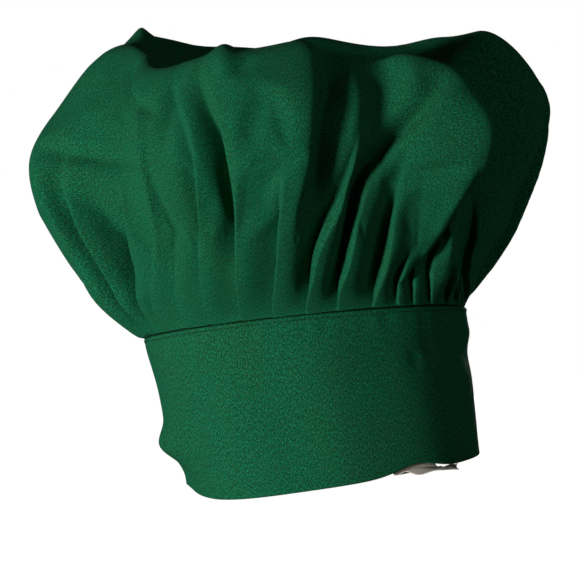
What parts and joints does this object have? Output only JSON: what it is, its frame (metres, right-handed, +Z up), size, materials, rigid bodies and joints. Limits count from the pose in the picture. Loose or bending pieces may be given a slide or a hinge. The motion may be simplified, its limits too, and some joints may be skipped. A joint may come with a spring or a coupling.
{
  "type": "chef toque",
  "caption": "Chef's toque with a full, pleated fabric crown sewn into a tall stiffened head band that closes at the back with a hook-and-loop tab.",
  "frame": {"origin": "centre of the oval head opening, in the plane of the band's hem, on which the hat stands", "axes": "+Z up from the hem to the crown; -Y towards the hat's front; +X to the right as seen from the front"},
  "size_m": [0.3577, 0.2829, 0.3276],
  "materials": {
    "twill": "matt green cotton and polyester twill",
    "interlining": "matt off-white non-woven",
    "thread": "green sewing thread, slightly glossy",
    "loop_tape": "matt green brushed loops",
    "hook_tape": "satin green moulded hooks",
    "label": "pale beige satin ribbon, blank"
  },
  "bodies": {
    "hat": {"crown": "twill", "band_cloth": "twill", "band_interlining": "interlining", "band_topstitching": "thread", "crown_gathering_thread": "thread", "band_end_stitching": "thread", "vent_hem_stitching": "thread", "vent_bartack": "thread", "loop_tape": "loop_tape", "loop_tape_stitching": "thread", "care_label": "label", "size_label": "label", "label_stitching": "thread"},
    "closure_tab": {"closure_tab_cloth": "twill", "closure_tab_interlining": "interlining", "closure_tab_stitching": "thread", "hook_tape": "hook_tape", "hook_tape_stitching": "thread"}
  },
  "joints": [
    {"name": "closure_tab_peel", "type": "hinge", "parent": "hat", "child": "closure_tab", "pos_m": [0.03322, 0.08854, 0.05025], "axis": [-0.0211, -0.0379, -0.9991], "range_deg": [0, 80]}
  ]
}
